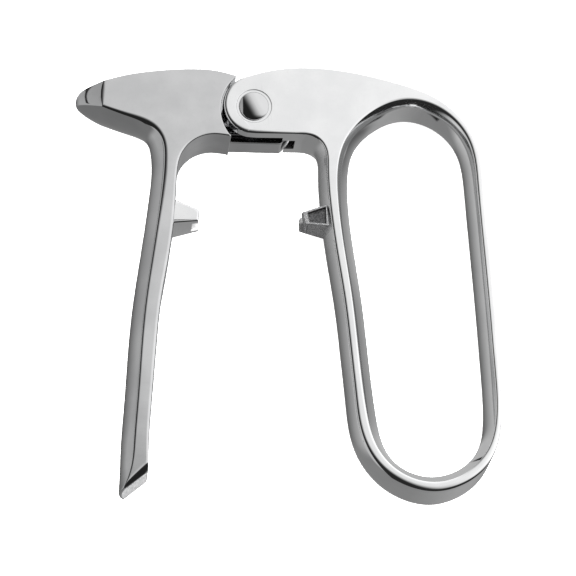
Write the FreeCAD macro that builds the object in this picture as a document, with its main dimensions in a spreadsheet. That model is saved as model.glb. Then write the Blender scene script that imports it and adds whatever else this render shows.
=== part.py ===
"""Lobster cracker: two cast levers on one rivet, held open by a torsion spring.

The tool lies flat on its back. +Z points up out of its front face, +Y runs from the finger loop
towards the hinge, and +X runs from the palm lever towards the finger loop. The origin is on the
rivet's axis, in the plane that the tool rests on.
"""
import FreeCAD, Part
import math
import os

import Sketcher
from FreeCAD import Placement, Vector

# alias: (millimetres or degrees, what it is)
DIMENSIONS = {
    "depth": (18.0, "levers, back face to front face"),
    "rear_ear": (8.8, "palm lever's ear, measured up from the back face"),
    "front_ear": (4.0, "loop lever's ear, measured down from the front face"),
    "layer_gap": (0.3, "axial gap between the two levers"),
    "front_ear_left": (9.8, "pivot across to the rounded end of the loop lever"),
    "front_ear_low": (9.2, "pivot down to the loop lever's underside"),
    "palm_recess": (10.5, "palm lever's hollow around the front ear"),
    "rear_ear_radius": (13.3, "swept radius of the palm lever's ear"),
    "rear_recess": (13.8, "loop lever's hollow around the rear ear"),
    "rear_ear_low": (9.3, "pivot down to the rear ear's flat underside"),
    "rear_ear_high": (11.0, "pivot up to the top of the arm beside the rear ear"),
    "rear_ear_heel": (9.3, "pivot across to the rear ear's lower corner"),
    "notch_floor": (9.0, "radius of the stop notch's floor in the rear ear"),
    "notch_start": (50.0, "the notch's right wall, in degrees round from +X"),
    "notch_end": (98.0, "the notch's left wall, in degrees round from +X"),
    "lug_start": (84.0, "stop lug's right side, in degrees round from +X"),
    "lug_end": (97.2, "stop lug's left side, in degrees round from +X"),
    "lug_floor": (9.3, "radius of the stop lug's underside"),
    "lug_crest": (10.6, "radius of the stop lug's top, inside the hump"),
    "lug_low": (3.0, "bottom of the stop lug above the back face"),
    "lug_root": (2.0, "how far the stop lug runs up into the loop lever"),
    "arm_reach": (13.0, "pivot across to where the rear ear is buried in the palm lever"),
    "shoulder_low": (5.0, "lower end of the rear ear's swept rim, in degrees round from +X"),
    "cavity_wall": (9.5, "pivot across to the spring cavity's end wall"),
    "cavity_reach": (20.0, "the cavity's cutter, out through the lever's open sides"),
    "cavity_shoulder": (4.0, "pivot up to where the cavity's end wall starts to slope"),
    "cavity_slope": (5.0, "pivot across to the top of that slope"),
    "cavity_roof": (9.0, "pivot up to the cavity's roof"),
    "overcut": (1.0, "how far a cutter passes through the surface that it opens"),
    "seat_end": (13.6, "pivot across to the far end of the spring leg's seat"),
    "seat_low": (4.1, "bottom of the spring leg's seat above the back face"),
    "seat_high": (11.5, "top of the spring leg's seat above the back face"),
    "seat_roof": (4.2, "pivot down to the roof of the spring leg's seat"),
    "shank_radius": (3.0, "rivet's shank"),
    "running_gap": (0.06, "radial clearance between the shank and the palm lever"),
    "fixed_gap": (0.02, "radial clearance between the shank and the loop lever"),
    "dome_radius": (4.8, "rivet's head across its rim, halved"),
    "dome_rise": (2.3, "rivet's head above the floor of its counterbore"),
    "dome_rim": (0.4, "straight rim of the rivet's head"),
    "counterbore_radius": (5.5, "shallow seat around the rivet's head"),
    "counterbore_deep": (0.3, "depth of that seat"),
    "tail_radius": (4.6, "rivet's flush tail at the back face"),
    "tail_deep": (1.6, "depth of the tail's countersink"),
    "tooth_bottom": (7.0, "cracking teeth: lower face above the back face"),
    "tooth_deep": (9.0, "cracking teeth: size along Z"),
    "tooth_prong": (1.85, "thickness of each prong beside the valley"),
    "valley_long": (2.2, "valley's length, inwards from the tooth's tip"),
    "valley_low": (-40.0, "lower end of the valley's cutter, along Y"),
    "valley_high": (-30.0, "upper end of the valley's cutter, along Y"),
    "palm_tip": (-17.0, "tip of the palm lever's tooth, along X"),
    "loop_tip": (15.4, "tip of the loop lever's tooth, along X"),
    "tooth_wall": (0.7, "wall around the hollow in the loop lever's tooth"),
    "hollow_deep": (2.0, "depth of that hollow"),
    "leg_crown": (4.0, "bulge of the palm leg's outer face at half depth"),
    "nose_crown": (8.5, "bulge of the nose's end at half depth"),
    "nose_under_crown": (1.3, "bulge of the nose's underside at half depth"),
    "back_crown": (0.8, "bulge of both levers' top edges at half depth"),
    "loop_crown": (2.3, "bulge of the loop's left outer face at half depth"),
    "hole_crown_left": (4.1, "finger loop narrows by this much at half depth, on the left"),
    "hole_crown_right": (3.2, "the same, on the right"),
    "hole_crown_top": (3.8, "the same, at the top"),
    "hole_crown_bottom": (3.6, "the same, at the bottom"),
    "wire": (1.2, "spring wire's diameter"),
    "coil_radius": (4.7, "spring coil's mean radius"),
    "coil_turns": (2.0, "full turns of the spring's coil"),
    "coil_start": (10.2, "height of the wire's axis at the coil's lower end"),
    "coil_pitch": (1.26, "rise per turn"),
    "leg_reach": (12.9, "pivot across to the tip of the spring's right leg"),
    "left_reach": (13.2, "pivot across to the tip of the spring's left leg"),
    "left_seat": (13.8, "pivot across to the end of the left leg's seat"),
    "seat_share": (0.9, "share of the left leg's climb that is made at the middle of its seat"),
}

# Smallest volume that a pocket has to remove, in cubic millimetres.
LEAST_CUT = 0.01

doc = FreeCAD.newDocument("LobsterCracker")
sheet = doc.addObject("Spreadsheet::Sheet", "Dimensions")
for row, (alias, (value, meaning)) in enumerate(DIMENSIONS.items(), start=1):
    sheet.set(f"A{row}", meaning)
    sheet.set(f"B{row}", str(value))
    sheet.setAlias(f"B{row}", alias)
doc.recompute()


def cell(alias):
    """A driving dimension, read back from the spreadsheet."""
    return float(sheet.get(alias))


# ---------------------------------------------------------------- outlines, in the XY plane

def palm_outline(bulge):
    """The palm lever's outline as open stretches; bulge is 0 at a flat face and 1 at half depth."""
    top = bulge * cell("back_crown")
    end = bulge * cell("nose_crown")
    under = bulge * cell("nose_under_crown")
    leg = bulge * cell("leg_crown")
    recess = cell("palm_recess")
    upper_corner = (-5.3, 10.2)
    lower_corner = (-7.0, -10.4)
    nose_top = (-47.8 - 0.62 * end, 7.3 - 0.5 * top)
    nose_low = (-47.9 - 0.95 * end, -1.5 + 0.27 * end)
    toe = (-39.7 - 0.3 * leg, -125.6 - 0.2 * leg)
    heel = (-31.9, -119.2)
    back = [upper_corner, (-12.0, 11.8), (-20.0, 12.1 + top), (-33.0, 10.9 + top),
            (-42.5, 9.0 + top), nose_top]
    nose = [nose_top, (-48.0 - end, 2.6), nose_low]
    outer = [nose_low, (-41.5 - 0.3 * leg, -3.6 - under), (-35.6 - 0.3 * leg, -5.6 - under),
             (-31.2 - 0.7 * leg, -8.2 - 0.8 * under), (-28.6 - leg, -12.4), (-28.0 - leg, -18.0),
             (-28.5 - leg, -27.0), (-29.8 - leg, -38.0), (-31.7 - leg, -52.0), (-33.5 - leg, -66.0),
             (-34.7 - leg, -81.0), (-35.6 - leg, -97.0), (-36.4 - leg, -110.0),
             (-37.2 - 0.85 * leg, -118.5), toe]
    inner = [heel, (-31.9, -111.0), (-31.1, -97.0), (-30.0, -81.0), (-28.6, -65.0),
             (-26.1, -49.0), (-24.6, -34.0), (-24.1, -23.0), (-22.7, -16.3), (-18.9, -11.9),
             (-13.6, -9.9), lower_corner]
    hollow = [lower_corner, (-recess, -0.3), upper_corner]
    return [back, nose, outer, [toe, heel], inner, hollow]


def loop_outline(bulge):
    """The loop lever's outer outline as open stretches, from the ear's underside round."""
    left = bulge * cell("loop_crown")
    top = bulge * cell("back_crown")
    crest = (-4.3, 9.4)
    chin = (0.0, -cell("front_ear_low"))
    around = [(15.0 - 0.2 * left, -9.0), (19.8 - 0.7 * left, -10.0), (22.7 - 0.95 * left, -13.4),
              (23.4 - left, -19.5), (24.2 - left, -33.0), (26.1 - left, -48.0),
              (28.4 - left, -63.0), (30.2 - left, -79.0), (31.8 - left, -95.0),
              (34.2 - left, -108.5), (39.6 - 0.8 * left, -117.7), (47.4 - 0.4 * left, -123.2),
              (56.1, -125.2), (64.4, -123.1), (71.4, -118.0), (76.2, -109.3), (77.6, -98.0),
              (76.8, -79.0), (75.7, -61.0), (74.3, -43.0), (73.2, -28.0), (72.2, -16.0),
              (69.0, -6.4), (64.0, 0.2), (57.0, 5.2 + 0.4 * top), (47.0, 8.8 + top),
              (38.0, 11.1 + top), (28.0, 12.9 + top), (17.5, 13.6 + top), (9.0, 13.0 + top),
              (2.5, 11.6 + 0.5 * top), crest]
    rounded = [crest, (-cell("front_ear_left"), 0.3), chin]
    return [around, rounded, [chin, (15.0 - 0.2 * left, -9.0)]]


def hole_outline(bulge):
    """The finger loop's closed outline: a blunt egg, narrower at half depth than at its rims."""
    left = bulge * cell("hole_crown_left")
    right = bulge * cell("hole_crown_right")
    top = bulge * cell("hole_crown_top")
    low = bulge * cell("hole_crown_bottom")
    return [(26.4 + left, -21.5), (28.8 + 0.85 * left, -10.8 - 0.3 * top),
            (36.6 + 0.5 * left, -1.2 - 0.8 * top), (49.0, 3.9 - top),
            (61.0 - 0.45 * right, 0.0 - 0.85 * top), (68.9 - 0.9 * right, -10.4 - 0.4 * top),
            (71.1 - right, -24.0), (72.6 - right, -44.0), (74.1 - right, -64.0),
            (75.4 - right, -84.0), (75.9 - right, -99.0), (73.2 - 0.8 * right, -111.0 + 0.4 * low),
            (65.6 - 0.4 * right, -119.2 + 0.85 * low), (56.0, -122.1 + low),
            (46.0 + 0.35 * left, -119.3 + 0.85 * low), (38.4 + 0.8 * left, -111.2 + 0.4 * low),
            (34.8 + left, -98.5), (32.7 + left, -81.0), (30.8 + left, -63.0),
            (28.2 + left, -45.0), (26.6 + left, -31.0)]


def polar(radius, angle):
    """A point at a radius and an angle in degrees round the pivot."""
    return (radius * math.cos(math.radians(angle)), radius * math.sin(math.radians(angle)))


def vectors(points):
    return [Vector(x, y, 0) for x, y in points]


def spacing(points):
    """Running distance along the points, which spaces a smooth curve's parameter."""
    steps = [math.dist(a, b) for a, b in zip(points, points[1:])]
    return [sum(steps[:i]) for i in range(len(points))]


def in_short_pieces(spline, most=8):
    """The curve cut at its knots into pieces of a few spans each, which meet smoothly."""
    knots = spline.getKnots()
    stops = knots[:-1:most] + knots[-1:]
    pieces = []
    for start, end in zip(stops, stops[1:]):
        piece = spline.copy()
        piece.segment(start, end)
        pieces.append(piece)
    return pieces


def curves_through(points, pattern):
    """A straight line through two points, an arc through three, a smooth curve through more.

    The curve is spaced like pattern, so that the curves of one loft correspond point by point.
    """
    if len(points) == 2:
        return [Part.LineSegment(*vectors(points))]
    if len(points) == 3:
        return [Part.Arc(*vectors(points))]
    spline = Part.BSplineCurve()
    spline.interpolate(Points=vectors(points), Parameters=spacing(pattern))
    return in_short_pieces(spline)


def open_curves(outline, bulge):
    """The curves of an outline that is made of open stretches."""
    curves = []
    for points, pattern in zip(outline(bulge), outline(0.0)):
        curves += curves_through(points, pattern)
    return curves


def closed_curve(outline, bulge):
    """The curves of an outline that is smooth all round."""
    pattern = outline(0.0)
    spline = Part.BSplineCurve()
    spline.interpolate(Points=vectors(outline(bulge)), PeriodicFlag=True,
                       Parameters=spacing(pattern + pattern[:1]))
    return in_short_pieces(spline)


# ---------------------------------------------------------------- PartDesign helpers

def new_body(label):
    body = doc.addObject("PartDesign::Body", label)
    body.Label = label
    return body


def origin_plane(body, role):
    return next(feature for feature in body.Origin.OriginFeatures if feature.Role == role)


def sketch_at(body, name, height="0"):
    """An empty sketch on the body's XY plane, lifted to a height given as an expression."""
    sketch = body.newObject("Sketcher::SketchObject", name)
    sketch.AttachmentSupport = (origin_plane(body, "XY_Plane"), [""])
    sketch.MapMode = "FlatFace"
    sketch.setExpression(".AttachmentOffset.Base.z", height)
    return sketch


def draw(sketch, curves):
    """Put the curves into the sketch and hold each one where it is drawn."""
    for curve in curves:
        index = sketch.addGeometry(curve, False)
        sketch.addConstraint(Sketcher.Constraint("Block", index))


def draw_circle(sketch, radius):
    """A circle round the pivot's axis; radius is an expression."""
    index = sketch.addGeometry(Part.Circle(Vector(0, 0, 0), Vector(0, 0, 1), 1.0), False)
    sketch.addConstraint(Sketcher.Constraint("Coincident", index, 3, -1, 1))
    size = sketch.addConstraint(Sketcher.Constraint("Radius", index, 1.0))
    sketch.setExpression(f"Constraints[{size}]", radius)


def draw_polygon(sketch, corners):
    """A closed polygon; each corner is a pair of expressions for its X and Y."""
    count = len(corners)
    first_guess = [(math.cos(2 * math.pi * i / count), math.sin(2 * math.pi * i / count))
                   for i in range(count)]
    for i, start in enumerate(vectors(first_guess)):
        end = vectors(first_guess)[(i + 1) % count]
        sketch.addGeometry(Part.LineSegment(start, end), False)
    for i, (along_x, along_y) in enumerate(corners):
        sketch.addConstraint(Sketcher.Constraint("Coincident", i, 2, (i + 1) % count, 1))
        for kind, expression in (("DistanceX", along_x), ("DistanceY", along_y)):
            start = first_guess[i][0 if kind == "DistanceX" else 1]
            size = sketch.addConstraint(Sketcher.Constraint(kind, -1, 1, i, 1, start))
            sketch.setExpression(f"Constraints[{size}]", expression)


def loft(body, name, kind, profiles, ruled=False):
    """Join sketches from the back upwards, with curved walls or, if ruled, straight ones."""
    feature = body.newObject(f"PartDesign::{kind}Loft", name)
    feature.Profile = profiles[0]
    feature.Sections = profiles[1:]
    feature.Ruled = ruled
    doc.recompute()
    return feature


def three_levels(body, name, curves_of, outline):
    """The three sketches of a crowned shape, whose outline bulges at half depth."""
    levels = (("Back", "0", 0.0), ("Half", "Dimensions.depth / 2", 1.0),
              ("Front", "Dimensions.depth", 0.0))
    sketches = []
    for suffix, height, bulge in levels:
        sketch = sketch_at(body, name + suffix, height)
        draw(sketch, curves_of(outline, bulge))
        sketches.append(sketch)
    return sketches


def pad(body, name, sketch, length):
    feature = body.newObject("PartDesign::Pad", name)
    feature.Profile = sketch
    feature.setExpression("Length", length)
    doc.recompute()
    return feature


def pocket(body, name, sketch, length):
    """Cut upwards from the sketch, and make sure that something is cut."""
    before = body.Tip.Shape.Volume
    feature = body.newObject("PartDesign::Pocket", name)
    feature.Profile = sketch
    feature.Reversed = True
    feature.setExpression("Length", length)
    doc.recompute()
    if body.Tip.Shape.Volume > before - LEAST_CUT:
        raise RuntimeError(f"{name} cuts nothing")
    return feature


# ---------------------------------------------------------------- the four pieces

def palm_lever():
    body = new_body("palm_lever")
    outline = three_levels(body, "PalmOutline", open_curves, palm_outline)
    loft(body, "PalmBlank", "Additive", outline)

    ear = sketch_at(body, "RearEarOutline")
    low = -cell("rear_ear_low")
    swept = cell("rear_ear_radius")
    floor = cell("notch_floor")
    start = cell("notch_start")
    end = cell("notch_end")
    arm = -cell("arm_reach")
    heel = (cell("rear_ear_heel"), low)
    rim_low = polar(swept, cell("shoulder_low"))
    shoulder = polar(swept, start)
    notch_right = polar(floor, start)
    notch_left = polar(floor, end)
    notch_rim = polar(cell("rear_ear_high") / math.sin(math.radians(end)), end)
    arm_top = (arm, cell("rear_ear_high"))
    arm_low = (arm, low)
    draw(ear, [Part.LineSegment(*vectors([arm_low, heel])),
               Part.Arc(*vectors([heel, rim_low, shoulder])),
               Part.LineSegment(*vectors([shoulder, notch_right])),
               Part.Arc(*vectors([notch_right, polar(floor, 0.5 * (start + end)), notch_left])),
               Part.LineSegment(*vectors([notch_left, notch_rim])),
               Part.LineSegment(*vectors([notch_rim, arm_top])),
               Part.LineSegment(*vectors([arm_top, arm_low]))])
    pad(body, "RearEar", ear, "Dimensions.rear_ear")

    add_tooth(body, "Palm", palm_tooth_levels())
    cut_valley(body, "Palm", "Dimensions.palm_tip", "-", "+")

    bore = sketch_at(body, "BoreCircle")
    draw_circle(bore, "Dimensions.shank_radius + Dimensions.running_gap")
    pocket(body, "Bore", bore, "Dimensions.depth")
    countersink(body)

    seat = sketch_at(body, "SpringSeatOutline", left_leg_height("-"))
    draw_polygon(seat, [("-Dimensions.left_seat", left_leg_side("-")),
                        ("-Dimensions.shank_radius * 2", left_leg_side("-")),
                        ("-Dimensions.shank_radius * 2", left_leg_side("+")),
                        ("-Dimensions.left_seat", left_leg_side("+"))])
    pocket(body, "SpringSeat", seat, "Dimensions.wire + 2 * Dimensions.layer_gap")
    return body


def left_leg_height(sign):
    """Height of a side of the left leg's seat, around the wire's axis half way along the seat."""
    coil_top = "Dimensions.coil_start + Dimensions.coil_turns * Dimensions.coil_pitch"
    climb = "Dimensions.coil_pitch * Dimensions.left_reach / (2 * pi * Dimensions.coil_radius)"
    middle = f"{coil_top} + Dimensions.seat_share * {climb}"
    return f"{middle} {sign} Dimensions.wire / 2 {sign} Dimensions.layer_gap"


def left_leg_side(sign):
    return f"-Dimensions.coil_radius {sign} Dimensions.wire / 2 {sign} Dimensions.layer_gap"


def palm_tooth_levels():
    """The palm lever's tooth at its lower and its upper face; it is cast with a taper."""
    tip = cell("palm_tip")
    lower = [(-26.0, -30.7), (-24.0, -31.3), (tip + 0.3, -34.2), (tip + 0.3, -38.9), (-24.2, -41.1),
             (-26.2, -41.7)]
    upper = [(-26.0, -30.9), (-24.0, -31.5), (tip + 0.1, -34.5), (tip - 0.2, -38.3), (-24.2, -38.9),
             (-26.2, -39.1)]
    return lower, upper


def loop_tooth_levels():
    """The loop lever's tooth at its lower and its upper face."""
    tip = cell("loop_tip")
    lower = [(25.8, -30.5), (23.6, -31.1), (tip - 0.4, -34.1), (tip - 0.4, -38.1), (22.2, -40.2),
             (26.2, -41.3)]
    upper = [(25.8, -30.9), (23.6, -31.5), (tip, -34.5), (tip + 0.9, -38.5), (23.8, -38.95),
             (26.2, -39.05)]
    return lower, upper


def add_tooth(body, prefix, levels):
    """A cracking tooth: a blunt tapered wedge that stands out of the leg's inner face."""
    heights = ("Dimensions.tooth_bottom", "Dimensions.tooth_bottom + Dimensions.tooth_deep")
    sketches = []
    for suffix, height, corners in zip(("Lower", "Upper"), heights, levels):
        sketch = sketch_at(body, prefix + "Tooth" + suffix, height)
        closed = corners + corners[:1]
        draw(sketch, [Part.LineSegment(*vectors(closed[i:i + 2])) for i in range(len(corners))])
        sketches.append(sketch)
    loft(body, prefix + "Tooth", "Additive", sketches, ruled=True)


def cut_valley(body, prefix, tip, into, beyond):
    """The notch across a tooth's tip that leaves a prong above and below it.

    into and beyond are the signs of X from the tip into the tooth and away from it.
    """
    inward = f"{tip} {into} Dimensions.valley_long"
    outward = f"{tip} {beyond} Dimensions.valley_long"
    low = "Dimensions.valley_low"
    high = "Dimensions.valley_high"
    outline = sketch_at(body, prefix + "ValleyOutline",
                        "Dimensions.tooth_bottom + Dimensions.tooth_prong")
    draw_polygon(outline, [(inward, low), (outward, low), (outward, high), (inward, high)])
    pocket(body, prefix + "Valley", outline, "Dimensions.tooth_deep - 2 * Dimensions.tooth_prong")


def countersink(body):
    """The cone at the back face that takes the rivet's flush tail."""
    sketch = body.newObject("Sketcher::SketchObject", "CountersinkProfile")
    sketch.AttachmentSupport = (origin_plane(body, "XZ_Plane"), [""])
    sketch.MapMode = "FlatFace"
    gap = "Dimensions.running_gap"
    draw_polygon(sketch, [("0", "0"), (f"Dimensions.tail_radius + {gap}", "0"),
                          (f"Dimensions.shank_radius + {gap}", "Dimensions.tail_deep"),
                          ("0", "Dimensions.tail_deep")])
    groove = body.newObject("PartDesign::Groove", "Countersink")
    groove.Profile = sketch
    groove.ReferenceAxis = (sketch, ["V_Axis"])
    groove.Angle = 360
    doc.recompute()


def loop_lever():
    body = new_body("loop_lever")
    outline = three_levels(body, "LoopOutline", open_curves, loop_outline)
    loft(body, "LoopBlank", "Additive", outline)
    hole = three_levels(body, "FingerLoop", closed_curve, hole_outline)
    loft(body, "FingerLoop", "Subtractive", hole)

    recess = sketch_at(body, "RearRecessCircle", "-Dimensions.overcut")
    draw_circle(recess, "Dimensions.rear_recess")
    pocket(body, "RearRecess", recess, "Dimensions.rear_ear + Dimensions.layer_gap + Dimensions.overcut")

    cavity = sketch_at(body, "SpringCavityOutline")
    beyond = "-Dimensions.cavity_reach"
    wall = "Dimensions.cavity_wall"
    draw_polygon(cavity, [(beyond, beyond), (wall, beyond), (wall, "Dimensions.cavity_shoulder"),
                          ("Dimensions.cavity_slope", "Dimensions.cavity_roof"),
                          (beyond, "Dimensions.cavity_roof")])
    pocket(body, "SpringCavity", cavity, "Dimensions.depth - Dimensions.front_ear")

    seat = sketch_at(body, "SpringSeatOutline", "Dimensions.seat_low")
    near = "Dimensions.cavity_wall - Dimensions.overcut"
    roof = "-Dimensions.seat_roof + Dimensions.layer_gap"
    draw_polygon(seat, [(near, beyond), ("Dimensions.seat_end", beyond), ("Dimensions.seat_end", roof),
                        (near, roof)])
    pocket(body, "SpringSeat", seat, "Dimensions.seat_high - Dimensions.seat_low")

    add_stop_lug(body)
    add_tooth(body, "Loop", loop_tooth_levels())
    cut_valley(body, "Loop", "Dimensions.loop_tip", "+", "-")
    hollow_out_tooth(body)

    bore = sketch_at(body, "BoreCircle")
    draw_circle(bore, "Dimensions.shank_radius + Dimensions.fixed_gap")
    pocket(body, "Bore", bore, "Dimensions.depth + Dimensions.overcut")
    seat_ring = sketch_at(body, "CounterboreCircle", "Dimensions.depth - Dimensions.counterbore_deep")
    draw_circle(seat_ring, "Dimensions.counterbore_radius")
    pocket(body, "Counterbore", seat_ring, "Dimensions.counterbore_deep + Dimensions.overcut")
    return body


def add_stop_lug(body):
    """The lug in the rear ear's notch, which stops the levers when they are wide open."""
    outline = sketch_at(body, "StopLugOutline", "Dimensions.lug_low")
    floor = cell("lug_floor")
    crest = cell("lug_crest")
    start = cell("lug_start")
    end = cell("lug_end")
    middle = 0.5 * (start + end)
    corners = [polar(floor, start), polar(floor, end), polar(crest, end), polar(crest, start)]
    draw(outline, [Part.Arc(*vectors([corners[0], polar(floor, middle), corners[1]])),
                   Part.LineSegment(*vectors(corners[1:3])),
                   Part.Arc(*vectors([corners[2], polar(crest, middle), corners[3]])),
                   Part.LineSegment(*vectors([corners[3], corners[0]]))])
    pad(body, "StopLug", outline,
        "Dimensions.rear_ear + Dimensions.layer_gap - Dimensions.lug_low + Dimensions.lug_root")


def hollow_out_tooth(body):
    """The shallow hollow in the upper face of the loop lever's tooth."""
    wall = cell("tooth_wall")
    outline = sketch_at(body, "ToothHollowOutline",
                        "Dimensions.tooth_bottom + Dimensions.tooth_deep - Dimensions.hollow_deep")
    corners = [(23.0, -31.75 - wall), (16.4 + wall, -33.95 - wall), (17.0 + wall, -38.55 + wall),
               (23.2, -38.9 + wall)]
    closed = corners + corners[:1]
    draw(outline, [Part.LineSegment(*vectors(closed[i:i + 2])) for i in range(len(corners))])
    pocket(body, "ToothHollow", outline, "Dimensions.hollow_deep + Dimensions.overcut")


def pivot_rivet():
    """Domed head on the front, plain shank, and a tail spread flush into the palm lever's ear."""
    body = new_body("pivot_rivet")
    sketch = body.newObject("Sketcher::SketchObject", "RivetProfile")
    sketch.AttachmentSupport = (origin_plane(body, "XZ_Plane"), [""])
    sketch.MapMode = "FlatFace"
    shank = cell("shank_radius")
    floor = cell("depth") - cell("counterbore_deep")
    rim = floor + cell("dome_rim")
    crown = floor + cell("dome_rise")
    radius = cell("dome_radius")
    rise = crown - rim
    sphere = (radius ** 2 + rise ** 2) / (2 * rise)
    middle = 0.5 * math.asin(radius / sphere)
    half_way = (sphere * math.sin(middle), crown - sphere + sphere * math.cos(middle))
    corners = [(0, crown), (0, 0), (cell("tail_radius"), 0), (shank, cell("tail_deep")),
               (shank, floor), (radius, floor), (radius, rim)]
    lines = [Part.LineSegment(*vectors(corners[i:i + 2])) for i in range(len(corners) - 1)]
    draw(sketch, lines + [Part.Arc(*vectors([(radius, rim), half_way, (0, crown)]))])
    turn = body.newObject("PartDesign::Revolution", "Rivet")
    turn.Profile = sketch
    turn.ReferenceAxis = (sketch, ["V_Axis"])
    turn.Angle = 360
    doc.recompute()
    return body


def torsion_spring():
    """Round wire: a short coil on the shank and a straight leg into each lever."""
    wire = cell("wire")
    radius = cell("coil_radius")
    start = cell("coil_start")
    rise = cell("coil_turns") * cell("coil_pitch")
    helix = Part.makeHelix(cell("coil_pitch"), rise, radius, 0, True)
    helix.rotate(Vector(0, 0, 0), Vector(0, 0, 1), -90)
    helix.translate(Vector(0, 0, start))
    climb = cell("coil_pitch") / (2 * math.pi * radius)
    right = cell("leg_reach")
    left = cell("left_reach")
    right_tip = Vector(right, -radius, start - right * climb)
    lower_end = Vector(0, -radius, start)
    upper_end = Vector(0, -radius, start + rise)
    left_tip = Vector(-left, -radius, start + rise + left * climb)
    spine = Part.Wire([Part.makeLine(right_tip, lower_end)] + helix.Edges
                      + [Part.makeLine(upper_end, left_tip)])
    section = Part.Wire(Part.makeCircle(wire / 2, right_tip, lower_end - right_tip))
    feature = doc.addObject("Part::Feature", "torsion_spring")
    feature.Label = "torsion_spring"
    feature.Shape = spine.makePipeShell([section], True, True)
    feature.Placement = Placement()
    return feature


def write_parts(pieces):
    """Refuse a failed or empty piece, then write each one to its own STEP file."""
    doc.recompute()
    for item in doc.Objects:
        if "Invalid" in item.State or "Error" in item.State:
            raise RuntimeError(f"{item.Label}: {item.State}")
    for piece in pieces:
        if piece.Shape.isNull() or not piece.Shape.isValid():
            raise RuntimeError(f"{piece.Label} has no valid shape")
    os.makedirs("parts", exist_ok=True)
    for piece in pieces:
        piece.Shape.exportStep(f"parts/{piece.Label}.step")


write_parts([palm_lever(), loop_lever(), pivot_rivet(), torsion_spring()])
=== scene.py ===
"""Looks of the lobster cracker: two polished cast levers, a domed rivet and a torsion spring.

The frame is the CAD model's: the tool lies on its back, +Z out of its front face, +Y from the
finger loop towards the hinge, and the origin on the rivet's axis in the plane it rests on.
Outlines and sizes are in millimetres and become metres as the meshes are made.
"""

import math

import bmesh
import bpy
import numpy as np
from mathutils import Matrix, Vector


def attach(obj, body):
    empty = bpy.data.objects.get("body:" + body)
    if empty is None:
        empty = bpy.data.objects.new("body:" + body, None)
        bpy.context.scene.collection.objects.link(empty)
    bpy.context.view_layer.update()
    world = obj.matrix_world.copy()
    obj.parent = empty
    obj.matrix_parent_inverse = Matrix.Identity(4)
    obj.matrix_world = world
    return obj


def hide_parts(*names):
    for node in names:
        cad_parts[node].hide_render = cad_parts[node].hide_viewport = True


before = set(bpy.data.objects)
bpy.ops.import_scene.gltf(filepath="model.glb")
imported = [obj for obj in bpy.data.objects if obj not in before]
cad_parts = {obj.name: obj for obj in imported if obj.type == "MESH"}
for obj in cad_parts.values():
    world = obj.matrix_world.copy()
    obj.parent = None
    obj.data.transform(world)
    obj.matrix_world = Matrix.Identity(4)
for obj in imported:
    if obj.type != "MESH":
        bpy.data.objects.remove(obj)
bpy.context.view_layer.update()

MM = 0.001

# Levers and their ears.
DEPTH = 18.0
REAR_EAR = 8.8
FRONT_EAR = 4.0
LAYER_GAP = 0.3
FRONT_EAR_LEFT = 9.8
FRONT_EAR_LOW = 9.2
PALM_RECESS = 10.5
REAR_EAR_RADIUS = 13.3
REAR_RECESS = 13.8
REAR_EAR_LOW = 9.3
REAR_EAR_HIGH = 11.0
REAR_EAR_HEEL = 9.3
ARM_REACH = 13.0

# Stop notch and lug, as radii and degrees round the pivot.
NOTCH_FLOOR = 9.0
NOTCH_START = 50.0
NOTCH_END = 98.0
SHOULDER_LOW = 5.0
LUG_START = 84.0
LUG_END = 97.2
LUG_FLOOR = 9.3
LUG_CREST = 10.6
LUG_LOW = 3.0
LUG_ROOT = 2.0

# Spring cavity and the seat for the spring's right leg.
CAVITY_REACH = 20.0
CAVITY_WALL = 9.5
CAVITY_SHOULDER = 4.0
CAVITY_SLOPE = 5.0
CAVITY_ROOF = 9.0
SEAT_END = 13.6
SEAT_LOW = 4.1
SEAT_HIGH = 11.5
SEAT_ROOF = 4.2
OVERCUT = 1.0

# Rivet and the bores and rings around it.
SHANK = 3.0
RUNNING_GAP = 0.06
FIXED_GAP = 0.02
DOME_RADIUS = 4.8
DOME_RISE = 2.3
DOME_RIM = 0.4
DOME_REACH = 0.955
COUNTERBORE = 5.5
COUNTERBORE_DEEP = 0.3
RING_BEVEL = 0.28
RING_REACH = 0.4
TAIL_RADIUS = 4.6
TAIL_DEEP = 1.6
TAIL_DISH = 0.12
SINK_BEVEL = 0.15

# Cracking teeth.
TOOTH_BOTTOM = 7.0
TOOTH_DEEP = 9.0
TOOTH_TOP = TOOTH_BOTTOM + TOOTH_DEEP
TOOTH_PRONG = 1.85
VALLEY_LONG = 2.2
VALLEY_LOW = -40.0
VALLEY_HIGH = -28.0
TOOTH_WALL = 0.7
HOLLOW_DEEP = 2.0
PALM_TIP = -17.0
LOOP_TIP = 15.4

# How far each wall bulges or narrows at half depth.
LEG_CROWN = 4.0
NOSE_CROWN = 8.5
NOSE_UNDER_CROWN = 1.3
BACK_CROWN = 0.8
LOOP_CROWN = 2.3
HOLE_CROWN_LEFT = 4.1
HOLE_CROWN_RIGHT = 3.2
HOLE_CROWN_TOP = 3.8
HOLE_CROWN_BOTTOM = 3.6

# Torsion spring.
WIRE = 1.2
COIL_RADIUS = 4.7
COIL_TURNS = 2.0
COIL_START = 10.2
COIL_PITCH = 1.26
LEG_START = 0.4
LEG_REACH = 12.9
LEFT_REACH = 13.2
WIRE_EASE = 0.12
WIRE_TIP = 0.75

# The roll-off beside the slanted toe, and the leg's stoop towards it.
ROLL_LARGE = 2.7
ROLL_SMALL = 0.3
ROLL_STEEP = 54.0
ROLL_START = 0.15
ROLL_GROWTH = 0.4
ROLL_CUTS = 14
END_DEPTH = 0.4
END_FACING = 0.985
STOOP_START = -92.0
STOOP_LONG = 27.0
STOOP = 2.4

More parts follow.
